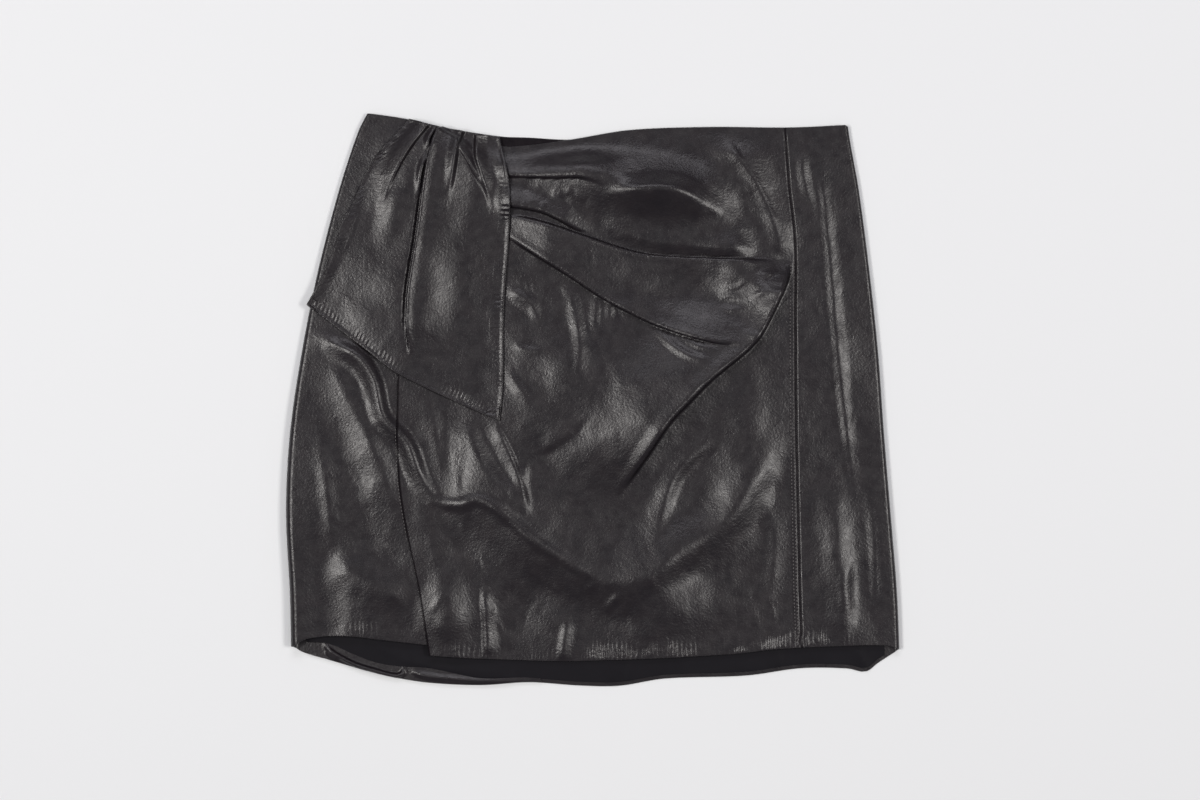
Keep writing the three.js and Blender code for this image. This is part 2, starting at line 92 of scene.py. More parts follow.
# Hem of the front, for the main front with the side and for the wrap under it, and hem of the back
FRONT_HEM = {
    "x": (-232, -219, -191, -160, -125, -87, -24, 30, 107, 140, 183, 225, 237),
    "main": (-194, -195, -195.5, -195.6, -195.8, -198.3, -200.2, -198.7, -194.8, -191, -188.8, -188, -191),
    "under": (-189, -182.5, -180.6, -184, -187.9, -190, -192, -192, -192, -192, -192, -192, -192),
}
BACK_HEM = {
    "x": (-232, -222, -203, -186, -168, -148, -125, -87, -49, -10, 20, 55, 118, 160, 196, 210, 219, 237),
    "y": (-189, -194, -199.6, -204.6, -209.6, -214, -217.3, -219, -216.8, -219.3, -219.5, -214, -211.6,
          -206, -206.2, -208.6, -202, -190.5),
}
# Edges of the sash flap, each as the points that its curve passes through
SASH = {
    "top": ((-141, 215.5), (-128, 212), (-111, 208), (-88, 204), (-72, 201.5)),
    "left": ((-219, 73), (-208, 94), (-191, 138), (-168, 184), (-141, 215.5)),
    "right": ((-71.5, -15.5), (-69, 14), (-68.5, 72), (-64.5, 128), (-64, 164), (-72, 201.5)),
    "bottom": ((-219, 73), (-174, 39), (-148.5, 20), (-98, -4.5), (-71.5, -15.5)),
}

# Folds of the front. rise is how high the crest stands, left and right how far it falls away on each
# hand of someone walking along its line, lean how far the crest hangs over its steeper hand, and grow
# and fade the shares of the line over which it comes and goes.
FOLD_COLUMNS = ("rise", "left", "right", "lean", "grow", "fade", "line")
# Lines that more than one fold follows
THIRD_PLEAT = ((-72, 142), (-45, 136), (-3, 122), (22, 114), (50, 108.5), (113, 105.5), (146, 106))
FOURTH_PLEAT = ((-72, 131), (-25, 103), (7, 82), (27, 71), (54, 58.5), (97, 45.5), (124, 46))
LOOP = ((153, 108), (136, 72), (121, 46), (89, 19), (70, 0), (55, -16), (38, -42), (15, -78))
SASH_PLEAT = ((-113, 210), (-118, 201), (-124, 177), (-131, 127), (-138, 81), (-140, 31))
FRONT_FOLDS = [
    # the drape at the upper right
    (9, 30, 46, 0, 0.42, 0.35, ((-68, 183), (-25, 181), (14, 171), (52, 166), (94, 160), (122, 145))),
    (6.5, 16, 38, 0, 0.3, 0.6, ((-4, 158), (25, 159), (50, 161), (68, 158), (98, 142), (140, 116))),
    (0.8, 4, 8, 0, 0.3, 0.5, ((10, 157), (25, 161), (50, 163), (68, 160), (90, 147))),
    (3.8, 24, 13, 0, 0.3, 0.2, ((0, 135), (22, 129), (50, 122), (90, 118), (132, 115))),
    (2.6, 20, 24, 0, 0.3, 0.12, ((75, 198), (111, 187), (128, 164), (141, 131), (146, 106))),
    (1.0, 4, 9, 0, 0.3, 0.3, ((60, 189), (75, 200), (98, 203), (111, 187), (127, 164), (139, 136),
                              (144, 110))),
    (3.0, 22, 2.6, 2.0, 0.1, 0.4, ((-72, 174), (-32, 172.5), (-8, 172), (14, 163))),
    (4.0, 16, 2.8, 1.8, 0.1, 0.4, ((-72, 152), (-42, 147), (-25, 140), (-11, 132), (4, 129))),
    (4.5, 3.0, 34, 1.5, 0.2, 0.2, THIRD_PLEAT),
    (5.4, 46, 3.4, 2.5, 0.22, 0.28, FOURTH_PLEAT),
    # the loop that hangs from the side seam, and the second ridge beside it
    (10, 5, 66, 2.0, 0.14, 0.3, LOOP),
    (2.6, 10, 16, 0, 0.3, 0.5, ((104, -20), (84, -36), (62, -60), (48, -104), (42, -122))),
    # lips of the third and fourth pleats and of the loop
    (0.8, 1.6, 4.5, 0.6, 0.1, 0.2, THIRD_PLEAT),
    (0.7, 5, 2.4, 0.6, 0.1, 0.2, FOURTH_PLEAT),
    (2.4, 2.6, 9, 1.0, 0.1, 0.2, LOOP),
    # under wrap
    (4.6, 8, 14, 0, 0.12, 0.25, ((-222, 28), (-213, 48), (-201, 44), (-179, 33), (-167, 15), (-160, -13),
                                (-142, -32), (-130, -62), (-112, -80))),
    (2.2, 16, 28, 0, 0.2, 0.3, ((-208, 36), (-186, -4), (-170, -35), (-156, -70), (-148, -105))),
    (3.0, 26, 22, 0, 0.3, 0.3, ((-205, -118), (-175, -138), (-136, -158))),
    (4.5, 44, 48, 0, 0, 0.7, ((-188, -205), (-187, -160), (-186, -90))),
    (2.0, 7, 7, 0, 0.2, 0.4, ((-132, -56), (-122, -76), (-102, -80), (-86, -76), (-62, -92), (-38, -112),
                             (8, -137), (39, -135))),
    # main front below the drape
    (3.0, 12, 26, 0, 0.25, 0.3, ((-100, -12), (-84, -50), (-62, -75), (-50, -90))),
    (2.1, 3.5, 12, 0.5, 0.2, 0.5, ((-76, -16), (-62, -46), (-54, -70), (-49, -92))),
    (5.8, 60, 34, 0, 0.1, 0.5, ((-123, -80), (-94, -77), (-67, -92), (-38, -114), (8, -139), (39, -136),
                                 (70, -117), (101, -95), (130, -55))),
    (3.6, 26, 24, 0, 0.3, 0.3, ((2, -140), (40, -134), (72, -113), (104, -90), (130, -52), (142, -12))),
    # side panel
    (1.3, 9, 7, 0, 0.12, 0.25, ((172, 186), (177, 161), (182, 110), (187, 50), (192, 0), (198, -48),
                                (205, -94))),
    (1.5, 14, 16, 0, 0.4, 0.3, ((184, -60), (188, -110), (192, -160), (190, -195))),
]
# Smaller folds of the front, in the same columns
FINE_FOLDS = [
    # beside the sash
    (2.0, 7, 9, 0, 0.3, 0.5, ((-68, 86), (-56, 80), (-46, 72), (-39, 55))),
    (1.6, 10, 8, 0, 0.45, 0.45, ((-22, 98), (-14, 66), (-10, 40), (-12, 10))),
    (1.2, 7, 7, 0, 0.45, 0.45, ((6, 88), (2, 68), (1, 45))),
    (1.4, 6, 8, 0, 0.4, 0.5, ((-67, 27), (-55, 7), (-40, -4))),
    (1.0, 5, 7, 0, 0.4, 0.5, ((-63, 46), (-50, 38), (-30, 40))),
    # at the foot of the fourth pleat
    (1.4, 4, 6, 0, 0.4, 0.4, ((46, 58), (60, 43), (75, 34), (94, 29))),
    (0.9, 4, 4, 0, 0.4, 0.4, ((62, 52), (80, 42), (98, 38))),
    # middle of the lower front
    (-1.1, 5, 16, 0, 0.3, 0.45, ((-52, -45), (-39, -43), (-24, -34), (-5, -18), (6, -8))),
    (1.4, 6, 12, 0, 0.3, 0.3, ((-52, -44), (-53, -66), (-50, -90))),
    (1.0, 10, 10, 0, 0.4, 0.4, ((-128, 6), (-120, -28), (-115, -70))),
    (1.4, 5, 6, 0, 0.4, 0.4, ((22, -147), (16, -154), (8, -163))),
    (2.2, 12, 5, 0, 0.4, 0.15, ((-84, -140), (-82, -170), (-81, -198))),
    (1.5, 9, 6, 0, 0.4, 0.15, ((-18, -165), (-22, -184), (-24, -200))),
    (1.6, 14, 12, 0, 0.4, 0.4, ((128, -60), (140, -110), (132, -170))),
    # under wrap
    (1.3, 10, 10, 0, 0.4, 0.4, ((-212, -20), (-204, -70), (-200, -120))),
    # side panel
    (1.4, 7, 8, 0, 0.4, 0.4, ((160, 198), (162, 170), (170, 145))),
    (0.9, 8, 9, 0, 0.4, 0.4, ((200, -110), (194, -140), (197, -175))),
    (-1.6, 7, 7, 0, 0.4, 0.3, ((212, -60), (216, -110), (218, -165))),
]
# Folds of the sash: its main pleat, with a lip and a trough beside it, and its gathers
SASH_FOLDS = [
    (1.2, 5, 1.6, 0.5, 0.03, 0.2, SASH_PLEAT),
    (-1.6, 2.2, 3.5, 0, 0.03, 0.25, ((-118, 211), (-123, 201), (-129, 177), (-136, 127), (-143, 81),
                                     (-145, 38))),
    (4.0, 44, 2.6, 3.0, 0.03, 0.16, SASH_PLEAT),
    (3.5, 4, 15, 1.0, 0.03, 0.6, ((-127, 213), (-143, 192), (-155, 169), (-165, 140))),
    (2.4, 3, 5, 0.5, 0.03, 0.5, ((-119, 210), (-126, 200), (-125, 190), (-132, 174), (-132, 146))),
    (3, 4, 7, 0.5, 0.03, 0.6, ((-101, 208), (-105, 195), (-108, 175), (-112, 150))),
    (2.2, 4, 4, 0.5, 0.1, 0.5, ((-103, 197), (-96, 186), (-88, 172), (-80, 157))),
    (3, 9, 4, 0.5, 0.03, 0.6, ((-88, 205), (-88, 186), (-80, 160), (-76, 138))),
]
# Broad swells of the front: middle, half width and half height, heading in degrees, and rise
SWELL_COLUMNS = ("x", "y", "half_width", "half_height", "heading", "rise")
SWELLS = [
    (0, 2, 112, 96, 0, 4.5),
    (112, -60, 34, 90, -8, 3.5),
    (-112, -158, 26, 40, -14, 3),
    (-30, -172, 30, 30, 0, 2),
    (60, -160, 55, 32, 10, 2.5),
    (-205, -70, 34, 100, 6, 3),
    (186, -120, 24, 80, 0, 1.6),
    (-22, 30, 30, 46, 20, 2),
    (-170, -40, 24, 60, 15, 2),
]
# Swells of the sash, in the same columns
SASH_SWELLS = [
    (-198, 118, 11, 62, -24, 1.8),
    (-152, 150, 15, 44, -16, 2.2),
    (-100, 30, 26, 60, 4, 1.4),
    (-176, 62, 20, 24, 40, 1.4),
]
# Clusters of short creases: middle, reach along X and Y, heading in degrees and its spread, how many,
# shortest and longest, rise and half width
CREASE_COLUMNS = ("middle", "reach", "heading", "spread", "count", "lengths", "rise", "width")
CREASES = [
    ((-34, 156), (34, 9), 85, 25, 16, (8, 15), 0.5, 3.0),
    ((122, 68), (22, 30), 8, 22, 16, (14, 30), 0.6, 2.8),
    ((-5, 70), (50, 22), -78, 20, 10, (14, 30), 0.6, 4.0),
    ((-20, -30), (50, 50), 30, 70, 12, (12, 28), 0.3, 3.5),
    ((60, -150), (80, 28), 60, 60, 14, (10, 24), 0.4, 3.2),
    ((-70, -150), (50, 30), 70, 60, 16, (10, 24), 0.45, 3.2),
    ((-185, -50), (30, 80), -60, 40, 12, (12, 30), 0.3, 3.5),
    ((190, 20), (26, 160), 85, 50, 12, (12, 30), 0.25, 3.4),
    ((60, 150), (70, 30), -10, 50, 14, (12, 28), 0.4, 3.4),
]

# How far relief takes to grow, in from an edge that holds it down, and the share left under the sash
WAIST_EASE = 24
LEFT_EASE = 45
RIGHT_EASE = 30
SASH_EASE = 25
SASH_SHARE = 0.15
LAP_EASE = 26
# How many steps of its mesh the sash spans between the high places below it
SASH_BRIDGE = 6
# How high the turned edge of the sash stands
SASH_BEAD = 0.5

# How rounded a fold's crest is, as a share of its width, and how far its profile is peaked
CREST = 0.14
PEAKED_SHARE = 0.55
# How far the front floats up between its folds, and how softly it comes down on the layers below
LOFT = 2.0
REST_SOFTNESS = 1.2
# Seams: how deep the leather dips along one, how wide, and the band beside it that has a finer mesh
SEAM_GROOVE = 1.1
SEAM_GROOVE_REACH = 1.9
SEAM_BAND = 5
BAND_STEPS = 10
# How far the painted shade along a seam reaches on each hand
SEAM_SHADE_REACH = 1.0
# How much painted shade dulls the leather along a row of stitches
STITCH_SHADE = 0.6
# Straight steps along a fold's line, and between two points of any curve
FOLD_STEPS = 28
CURVE_STEPS = 60
# Seeds of the random parts, and the sash's share of the front's unevenness
CREASE_SEED = 40
FRONT_SEED = 7
SASH_SEED = 57
HEM_SEED = 21
SASH_EDGE_SEED = 34
FACING_SEED = 71
LINING_SEED = 72
WAIST_SEED = 73
SASH_CRUMPLE = 0.7


def smoothstep(value, low, high):
    t = np.clip((np.asarray(value, float) - low) / (high - low), 0, 1)
    return t * t * (3 - 2 * t)


def mix(a, b, t):
    return a + (b - a) * t


def read(table, key, column, at):
    """Value of one column of a table at each place, on a smooth curve through its rows."""
    order = np.argsort(table[key])
    keys = np.array(table[key], float)[order]
    values = np.array(table[column], float)[order]
    before = np.maximum(np.arange(len(keys)) - 1, 0)
    after = np.minimum(np.arange(len(keys)) + 1, len(keys) - 1)
    slopes = (values[after] - values[before]) / (keys[after] - keys[before])
    at = np.clip(at, keys[0], keys[-1])
    i = np.clip(np.searchsorted(keys, at, side="right") - 1, 0, len(keys) - 2)
    span = keys[i + 1] - keys[i]
    t = (at - keys[i]) / span
    return (
        (2 * t**3 - 3 * t**2 + 1) * values[i]
        + (t**3 - 2 * t**2 + t) * slopes[i] * span
        + (3 * t**2 - 2 * t**3) * values[i + 1]
        + (t**3 - t**2) * slopes[i + 1] * span
    )


def left_edge(y):
    return read(SECTIONS, "y", "left", y)


def right_edge(y):
    return read(SECTIONS, "y", "right", y)


def wrap_edge(y):
    return read(SEAMS, "y", "wrap", y)


def side_seam(y):
    return read(SEAMS, "y", "side", y)


def front_waist(x):
    return read(WAIST, "x", "front", x)


def back_waist(x):
    return read(WAIST, "x", "back", x)


def main_hem(x):
    return read(FRONT_HEM, "x", "main", x)


def under_hem(x):
    return read(FRONT_HEM, "x", "under", x)


def back_hem(x):
    return read(BACK_HEM, "x", "y", x)


def spline(points, count):
    """Points spread evenly by length along a smooth curve through a few points."""
    p = np.array(points, float)
    padded = np.vstack([2 * p[0] - p[1], p, 2 * p[-1] - p[-2]])
    dense = []
    for i in range(len(p) - 1):
        a, b, c, d = padded[i : i + 4]
        t = np.linspace(0, 1, CURVE_STEPS, endpoint=False)[:, None]
        square, cube = 2 * a - 5 * b + 4 * c - d, 3 * b - a - 3 * c + d
        dense.append(0.5 * (2 * b + (c - a) * t + square * t**2 + cube * t**3))
    dense = np.vstack([*dense, p[-1:]])
    length = np.concatenate([[0], np.cumsum(np.linalg.norm(np.diff(dense, axis=0), axis=1))])
    places = np.linspace(0, length[-1], count + 1)
    return np.column_stack([np.interp(places, length, dense[:, axis]) for axis in range(2)])


def noise(x, y, size, seed):
    """Smooth noise from -1 to 1, with features about one size across."""
    table = np.random.default_rng(seed).uniform(-1, 1, (64, 64))
    turn = 0.6 + seed
    gx = (x * math.cos(turn) - y * math.sin(turn)) / size + 500
    gy = (x * math.sin(turn) + y * math.cos(turn)) / size + 500
    ix, iy = np.floor(gx).astype(int), np.floor(gy).astype(int)
    fx, fy = gx - ix, gy - iy
    fx, fy = fx * fx * (3 - 2 * fx), fy * fy * (3 - 2 * fy)

    def at(i, j):
        return table[(ix + i) % 64, (iy + j) % 64]

    return mix(mix(at(0, 0), at(1, 0), fx), mix(at(0, 1), at(1, 1), fx), fy)


def ridge_profile(share):
    """Height across a fold: a rounded crest and flanks that flatten out toward the foot."""
    soft = 0.5 + 0.5 * np.cos(np.pi * share)
    peaked = (1 - np.sqrt(share**2 + CREST**2) + CREST * (1 - share)) ** 2
    return mix(soft, peaked, PEAKED_SHARE)


def fold_offsets(fold, x, y):
    """How far one fold moves each point: along X, along Y and up."""
    fold = dict(zip(FOLD_COLUMNS, fold))
    path = spline(fold["line"], FOLD_STEPS)
    reach = max(fold["left"], fold["right"])
    near = (
        (x > path[:, 0].min() - reach) & (x < path[:, 0].max() + reach)
        & (y > path[:, 1].min() - reach) & (y < path[:, 1].max() + reach)
    )
    moved = np.zeros((3, *x.shape))
    if not near.any():
        return moved
    px, py = x[near], y[near]
    best = np.full(px.shape, np.inf)
    turn, share = np.zeros(px.shape), np.zeros(px.shape)
    across = np.zeros((2, *px.shape))
    for i in range(FOLD_STEPS):
        ax, ay = path[i + 1] - path[i]
        wx, wy = px - path[i, 0], py - path[i, 1]
        t = np.clip((wx * ax + wy * ay) / (ax * ax + ay * ay), 0, 1)
        distance = np.hypot(wx - t * ax, wy - t * ay)
        closer = distance < best
        best = np.where(closer, distance, best)
        turn = np.where(closer, ax * wy - ay * wx, turn)
        share = np.where(closer, (i + t) / FOLD_STEPS, share)
        length = math.hypot(ax, ay)
        across = np.where(closer, np.array([[-ay / length], [ax / length]]), across)
    width = np.where(turn > 0, fold["left"], fold["right"])
    bell = ridge_profile(np.minimum(best / width, 1))
    grow = smoothstep(share, 0, fold["grow"]) if fold["grow"] else 1
    ends = grow * (1 - smoothstep(share, 1 - fold["fade"], 1))
    moved[2][near] = fold["rise"] * bell * ends
    if fold["lean"]:
        steep = 1 if fold["left"] < fold["right"] else -1
        lean_width = np.where(turn * steep > 0, width, 3 * fold["lean"] + 3)
        lean = fold["lean"] * (0.5 + 0.5 * np.cos(np.pi * np.minimum(best / lean_width, 1))) * ends * steep
        moved[0][near] = lean * across[0]
        moved[1][near] = lean * across[1]
    return moved


def folds_offsets(folds, x, y):
    return sum((fold_offsets(fold, x, y) for fold in folds), np.zeros((3, *x.shape)))


def scattered_creases(cluster, seed):
    """Short creases of uneven length, depth and heading, strewn about a cluster's middle."""
    c = dict(zip(CREASE_COLUMNS, cluster))
    rng = np.random.default_rng(seed)
    folds = []
    for _ in range(c["count"]):
        middle = np.array(c["middle"]) + rng.uniform(-1, 1, 2) * c["reach"]
        heading = math.radians(c["heading"] + rng.normal(0, c["spread"] / 2))
        along = np.array([math.cos(heading), math.sin(heading)]) * rng.uniform(*c["lengths"]) / 2
        bend = np.array([-along[1], along[0]]) * rng.uniform(-0.35, 0.35)
        width = c["width"] * rng.uniform(0.7, 1.5)
        rise = c["rise"] * rng.uniform(0.4, 1.5) * rng.choice([1, 1, -0.7])
        line = (middle - along, middle + bend, middle + along)
        folds.append((rise, width, width * rng.uniform(0.8, 1.8), 0, 0.5, 0.5, line))
    return folds


def sash_outline():
    edges = [SASH["bottom"], SASH["right"], SASH["top"][::-1], SASH["left"][::-1]]
    return np.vstack([spline(edge, 16)[:-1] for edge in edges])


def depth_inside(outline, x, y):
    """How deep each point lies inside a closed outline, or zero outside it."""
    inside = np.zeros(x.shape, bool)
    nearest = np.full(x.shape, np.inf)
    for (ax, ay), (bx, by) in zip(np.roll(outline, 1, axis=0), outline):
        crosses = (ay > y) != (by > y)
        inside ^= crosses & (x < ax + (y - ay) * (bx - ax) / (by - ay if by != ay else 1e-9))
        t = np.clip(((x - ax) * (bx - ax) + (y - ay) * (by - ay)) / ((bx - ax) ** 2 + (by - ay) ** 2), 0, 1)
        nearest = np.minimum(nearest, np.hypot(x - ax - t * (bx - ax), y - ay - t * (by - ay)))
    return np.where(inside, nearest, 0)


# Unevenness of worn leather: the height and size of its wide swells, dents and faint creases, and how far
# and at what size the dents are bent
WIDE_SWELLS = ((1.9, 80), (1.0, 38))
DENT_BEND, DENT_BEND_SIZE = 6, 20
DENT_HEIGHT, DENT_SIZE = 0.42, 17
FAINT_CREASES = ((0.13, 8), (0.05, 4))


def crumple(x, y, seed):
    """Soft unevenness of worn leather: wide swells, softer dents and faint creases."""
    total = sum(height * noise(x, y, size, seed + i) for i, (height, size) in enumerate(WIDE_SWELLS))
    bent = x + DENT_BEND * noise(x, y, DENT_BEND_SIZE, seed + 2)
    total = total + DENT_HEIGHT * noise(bent, y, DENT_SIZE, seed + 3)
    for i, (height, size) in enumerate(FAINT_CREASES):
        total = total + height * noise(x, y, size, seed + 4 + i)
    return total


SASH_OUTLINE = sash_outline()
SHORT_CREASES = [
    fold for i, cluster in enumerate(CREASES) for fold in scattered_creases(cluster, CREASE_SEED + i)
]


def swell_height(swell, x, y):
    swell = dict(zip(SWELL_COLUMNS, swell))
    turn = math.radians(swell["heading"])
    across = (x - swell["x"]) * math.cos(turn) + (y - swell["y"]) * math.sin(turn)
    along = (y - swell["y"]) * math.cos(turn) - (x - swell["x"]) * math.sin(turn)
    radius = np.hypot(across / swell["half_width"], along / swell["half_height"])
    return swell["rise"] * (0.5 + 0.5 * np.cos(np.pi * np.minimum(radius, 1)))


def swells_height(swells, x, y):
    return sum(swell_height(swell, x, y) for swell in swells)


def front_offsets(x, y):
    """How far the front's folds move each point of its flat pattern."""
    waist = smoothstep(front_waist(x) - y, 0, WAIST_EASE)
    sash = mix(1, SASH_SHARE, smoothstep(depth_inside(SASH_OUTLINE, x, y), 0, SASH_EASE))
    offsets = folds_offsets(FRONT_FOLDS + FINE_FOLDS + SHORT_CREASES, x, y)
    offsets[2] += swells_height(SWELLS, x, y)
    offsets *= sash
    offsets[2] += LOFT + crumple(x, y, FRONT_SEED)
    offsets[2] = (offsets[2] + np.sqrt(offsets[2] ** 2 + REST_SOFTNESS**2)) / 2
    return offsets * waist


def front_points(x, y, extra=0):
    """Middle of the front's wall at each point, where it meets the rolled folds at both edges too."""
    offsets = front_offsets(x, y)
    groove = 1 - smoothstep(np.abs(x - side_seam(y)), 0, SEAM_GROOVE_REACH)
    offsets[2] -= np.minimum(SEAM_GROOVE * groove, offsets[2])
    left_share = 1 - smoothstep(x - left_edge(y), 0, LEFT_EASE)
    right_share = 1 - smoothstep(right_edge(y) - x, 0, RIGHT_EASE)
    z = FRONT_LEVEL + offsets[2]
    z = mix(z, read(SECTIONS, "y", "left_fold", y), left_share)
    z = mix(z, read(SECTIONS, "y", "right_fold", y), right_share)
    free = (1 - left_share) * (1 - right_share)
    return np.stack([x + offsets[0] * free, y + offsets[1] * free, z + extra], axis=-1)


def lap_height(x, y):
    """Extra height of the main front where it lies over the under wrap."""
    return LAP_STEP * (1 - smoothstep(x - wrap_edge(y), WRAP_UNDERLAP, WRAP_UNDERLAP + LAP_EASE))


# Meshes

RIM_ANGLES = (0.45, 0.0, -0.45)


def shell_mesh(name, grid, thickness, marks=None):
    """Closed shell round a grid of middle points, with both skins and a rounded rim. In millimetres.

    Marks are grids that the leather's finish reads: places along a turned edge, how strongly it puckers,
    and where shade is painted along seams and stitches and inside the waist.
    """
    rows, columns = grid.shape[:2]
    across = np.empty_like(grid)
    across[:, 1:-1] = grid[:, 2:] - grid[:, :-2]
    across[:, 0], across[:, -1] = grid[:, 1] - grid[:, 0], grid[:, -1] - grid[:, -2]
    up = np.empty_like(grid)
    up[1:-1] = grid[2:] - grid[:-2]
    up[0], up[-1] = grid[1] - grid[0], grid[-1] - grid[-2]
    normal = np.cross(across, up)
    normal /= np.linalg.norm(normal, axis=-1, keepdims=True)
    outer = (grid + normal * thickness / 2).reshape(-1, 3)
    inner = (grid - normal * thickness / 2).reshape(-1, 3)
    index = np.arange(rows * columns).reshape(rows, columns)
    skin = np.stack([index[:-1, :-1], index[:-1, 1:], index[1:, 1:], index[1:, :-1]], axis=-1).reshape(-1, 4)
    faces = [skin, skin[:, ::-1] + rows * columns]
    border = np.concatenate([index[0, :-1], index[:-1, -1], index[-1, :0:-1], index[:0:-1, 0]])
    middle = grid.reshape(-1, 3)[border]
    along = np.roll(middle, -1, axis=0) - np.roll(middle, 1, axis=0)
    border_normal = normal.reshape(-1, 3)[border]
    outward = np.cross(along, border_normal)
    outward /= np.linalg.norm(outward, axis=-1, keepdims=True)
    points = [outer, inner]
    rings = [border]
    for angle in RIM_ANGLES:
        turn = angle * math.pi
        ring = middle + (border_normal * math.sin(turn) + outward * math.cos(turn) * 0.8) * thickness / 2
        rings.append(sum(len(p) for p in points) + np.arange(len(border)))
        points.append(ring)
    rings.append(border + rows * columns)
    for top, low in zip(rings[:-1], rings[1:]):
        faces.append(np.stack([top, low, np.roll(low, -1), np.roll(top, -1)], axis=-1))
    mesh = quad_mesh(name, np.vstack(points) * MM, np.vstack(faces))
    for label, values in zip(("pucker_place", "pucker_strength", "painted_shade"), marks or ()):
        values = values.ravel()
        values = np.concatenate([values, values] + [values[border]] * len(RIM_ANGLES))
        mesh.attributes.new(label, "FLOAT", "POINT").data.foreach_set("value", values.astype(np.float32))
    return mesh


def quad_mesh(name, points, quads):
    mesh = bpy.data.meshes.new(name)
    mesh.vertices.add(len(points))
    mesh.vertices.foreach_set("co", points.astype(np.float32).ravel())
    mesh.loops.add(quads.size)
    mesh.loops.foreach_set("vertex_index", quads.astype(np.int32).ravel())
    mesh.polygons.add(len(quads))
    mesh.polygons.foreach_set("loop_start", np.arange(0, quads.size, 4, dtype=np.int32))
    mesh.update(calc_edges=True)
    mesh.validate()
    mesh.polygons.foreach_set("use_smooth", np.ones(len(mesh.polygons), bool))
    return mesh


def piece(name, mesh, material, slot, *nodes):
    """Object that rides on the body, takes the given material as its finish and stands for some CAD nodes.
    Its slot is not used.
    """
    obj = bpy.data.objects.new(name, mesh)
    bpy.context.scene.collection.objects.link(obj)
    mesh.materials.append(material)
    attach(obj, "root")
    if nodes:
        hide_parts(*nodes)
    return obj


def dense_shares(count, low_band, high_band):
    """Shares from 0 to 1 that lie closer together in a band at each end."""
    low = np.linspace(0, low_band, BAND_STEPS + 1)[:-1] if low_band else []
    high = np.linspace(1 - high_band, 1, BAND_STEPS + 1)[1:] if high_band else []
    return np.concatenate([low, np.linspace(low_band, 1 - high_band, count + 1), high])


def panel_grid(left, right, hem, waist, across, up):
    """Flat pattern of a panel between four edges, as grids of X and Y, at shares across and up."""
    u, v = np.meshgrid(across, up)
    x, y = mix(left(0.0), right(0.0), u), np.zeros_like(u)
    for _ in range(4):
        y = mix(hem(x), waist(x), v)
        x = mix(left(y), right(y), u)
    return x, y


# Leather panels


# Ripples beside a hem: the size of their patches, how far in they reach, and how softly a stretch ends
HEM_PATCH = 28
HEM_MARK_REACH = 15
HEM_MARK_EASE = 12


def hem_marks(x, y, hem, start, end):
    """Where ripples square to a hem lie: places along it in millimetres, and how strong they are."""
    patches = np.clip(0.45 + 0.9 * noise(x, 0 * y, HEM_PATCH, HEM_SEED), 0, 1)
    ends = smoothstep(x, start, start + HEM_MARK_EASE) * (1 - smoothstep(x, end - HEM_MARK_EASE, end))
    place = x + 2 * noise(x, 0 * y, HEM_PATCH / 2, HEM_SEED + 1)
    reach = HEM_MARK_REACH + 4 * noise(x, y, 9, HEM_SEED + 3)
    return place, patches * ends * edge_band(y - hem(x), 1.0, 6, reach)


def painted_shade(x, y, *seams):
    """Painted shade along each seam that dulls the leather, and less along its stitches."""
    shaded = 1 - smoothstep(np.min([np.abs(x - seam(y)) for seam in seams], axis=0), 0.3, SEAM_SHADE_REACH)
    for row in STITCH_ROWS:
        along = (y < row[3]) & (y > row[4])
        beside = 1 - smoothstep(np.abs(x - stitch_line(y, *row)), 0.2, 0.9)
        shaded = np.maximum(shaded, STITCH_SHADE * along * beside)
    return shaded


def edge_band(depth, low, high, end):
    """One in a band beside an edge, and zero at the edge itself and beyond the band."""
    return smoothstep(depth, 0.2, low) * (1 - smoothstep(depth, high, end))


# Mesh of the main front: steps across its width, and rows below the drape and over it, where they lie closer
FRONT_STEPS = 188
FRONT_WIDTH = 300
ROWS_BELOW = 92
DRAPE_ROWS = 128
DRAPE_START = 0.52
# Mesh of the two side panels: steps across the front, round the fold and below, and rows
LEFT_STEPS = 70
RIGHT_STEPS = 54
RIGHT_WIDTH = 75
TURN_STEPS = 14
UNDER_STEPS = 10
SIDE_ROWS = 250


def front_panel(material):
    across = dense_shares(FRONT_STEPS, SEAM_BAND / FRONT_WIDTH, SEAM_BAND / FRONT_WIDTH)
    below = np.linspace(0, DRAPE_START, ROWS_BELOW, endpoint=False)
    up = np.concatenate([below, np.linspace(DRAPE_START, 1, DRAPE_ROWS)])
    x, y = panel_grid(wrap_edge, lambda y: side_seam(y) - SEAM_GAP, main_hem, front_waist, across, up)
    grid = front_points(x, y, lap_height(x, y))
    # Hem ripples, and painted shade along the wrap and side seams
    marks = (*hem_marks(x, y, main_hem, -125, 170), painted_shade(x, y, wrap_edge, side_seam))
    mesh = shell_mesh("front_panel_leather", grid, LEATHER, marks)
    return piece("front_panel_leather", mesh, material, "leather", "front_panel")


